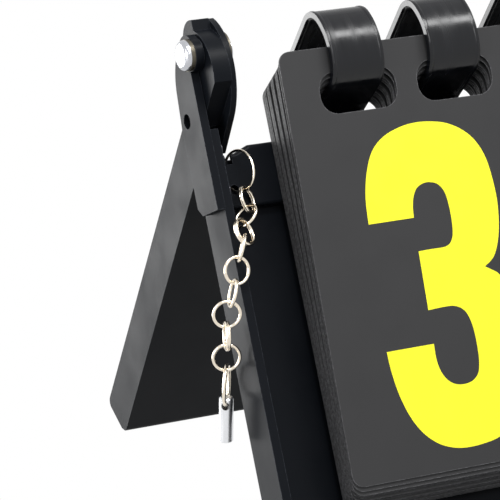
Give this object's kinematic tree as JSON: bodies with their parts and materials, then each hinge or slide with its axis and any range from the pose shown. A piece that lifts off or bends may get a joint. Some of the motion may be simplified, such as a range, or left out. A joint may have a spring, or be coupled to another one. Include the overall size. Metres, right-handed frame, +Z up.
{
  "type": "tabletop flip scoreboard",
  "caption": "Tabletop flip scoreboard: hinged black A-frame trays, hoops over the ridge with number card packs, and a lock pin on a chain.",
  "frame": {"origin": "on the table, at the centre of the bounding box's bottom", "axes": "+X along the board to the players' right, +Z up, -Y faces the players"},
  "size_m": [0.4488, 0.1564, 0.1789],
  "materials": {
    "black_shell": "satin moulded ABS",
    "black_hoop": "glossy moulded",
    "card_sheet": "matte PVC sheet",
    "chrome_rivet": "polished",
    "dark_washer": "blackened",
    "steel_screw": "zinc plated",
    "plated_wire": "nickel plated wire",
    "bright_steel": "turned"
  },
  "bodies": {
    "stand": {"front_tray": "black_shell", "front_clamp_bar": "black_shell", "left_hinge_plate": "black_shell", "right_hinge_plate": "black_shell", "left_score_hoop_1": "black_hoop", "left_score_hoop_2": "black_hoop", "left_score_hoop_3": "black_hoop", "left_set_hoop": "black_hoop", "right_score_hoop_1": "black_hoop", "right_score_hoop_2": "black_hoop", "right_score_hoop_3": "black_hoop", "right_set_hoop": "black_hoop", "left_score_cards": "card_sheet", "left_set_cards": "card_sheet", "right_score_cards": "card_sheet", "right_set_cards": "card_sheet", "left_pivot_rivet": "chrome_rivet", "left_rivet_washer": "dark_washer", "left_tail_washer": "dark_washer", "right_pivot_rivet": "chrome_rivet", "right_rivet_washer": "dark_washer", "right_tail_washer": "dark_washer", "clamp_bar_screws": "steel_screw", "hinge_plate_screws": "steel_screw", "anchor_ring": "plated_wire", "chain_ring_1": "plated_wire", "chain_ring_2": "plated_wire", "chain_ring_3": "plated_wire", "chain_ring_4": "plated_wire", "chain_ring_5": "plated_wire"},
    "rear": {"rear_tray": "black_shell"},
    "left_score_front_card": {"left_score_front_card": "card_sheet"},
    "left_set_front_card": {"left_set_front_card": "card_sheet"},
    "right_score_front_card": {"right_score_front_card": "card_sheet"},
    "right_set_front_card": {"right_set_front_card": "card_sheet"},
    "chain_ring_6": {"chain_ring_6": "plated_wire"},
    "chain_ring_7": {"chain_ring_7": "plated_wire"},
    "chain_ring_8": {"chain_ring_8": "plated_wire"},
    "chain_ring_9": {"chain_ring_9": "plated_wire"},
    "pin_ring": {"pin_ring": "plated_wire"},
    "lock_pin": {"lock_pin": "bright_steel"}
  },
  "joints": [
    {"name": "leg_fold", "type": "hinge", "parent": "stand", "child": "rear", "pos_m": [0, 0, 0.16803], "axis": [1, 0, 0], "range_deg": [0, 298]},
    {"name": "left_score_flip", "type": "hinge", "parent": "stand", "child": "left_score_front_card", "pos_m": [-0.11715, 0.0018, 0.15863], "axis": [-1, 0, 0], "range_deg": [0, 212]},
    {"name": "left_set_flip", "type": "hinge", "parent": "stand", "child": "left_set_front_card", "pos_m": [-0.02275, 0.0018, 0.15863], "axis": [-1, 0, 0], "range_deg": [0, 212]},
    {"name": "right_score_flip", "type": "hinge", "parent": "stand", "child": "right_score_front_card", "pos_m": [0.11715, 0.0018, 0.15863], "axis": [-1, 0, 0], "range_deg": [0, 212]},
    {"name": "right_set_flip", "type": "hinge", "parent": "stand", "child": "right_set_front_card", "pos_m": [0.02275, 0.0018, 0.15863], "axis": [-1, 0, 0], "range_deg": [0, 212]},
    {"name": "chain_ring_6_swing", "type": "hinge", "parent": "stand", "child": "chain_ring_6", "pos_m": [-0.2186, -0.03849, 0.0943], "axis": [-0.9217, 0.3002, 0.2456], "range_deg": [0, 15]},
    {"name": "chain_ring_7_swing", "type": "hinge", "parent": "chain_ring_6", "child": "chain_ring_7", "pos_m": [-0.22083, -0.03905, 0.08662], "axis": [0.3097, 0.9508, 0], "range_deg": [0, 15]},
    {"name": "chain_ring_8_swing", "type": "hinge", "parent": "chain_ring_7", "child": "chain_ring_8", "pos_m": [-0.22161, -0.03879, 0.07857], "axis": [-0.9508, 0.3097, 0], "range_deg": [0, 15]},
    {"name": "chain_ring_9_swing", "type": "hinge", "parent": "chain_ring_8", "child": "chain_ring_9", "pos_m": [-0.22161, -0.03879, 0.07042], "axis": [0.3097, 0.9508, 0], "range_deg": [0, 15]},
    {"name": "pin_ring_swing", "type": "hinge", "parent": "chain_ring_9", "child": "pin_ring", "pos_m": [-0.22161, -0.03879, 0.06227], "axis": [-0.8383, 0.5452, 0], "range_deg": [0, 15]},
    {"name": "lock_pin_swing", "type": "hinge", "parent": "pin_ring", "child": "lock_pin", "pos_m": [-0.22161, -0.03879, 0.04932], "axis": [0.5452, 0.8383, 0], "range_deg": [0, 15]}
  ]
}
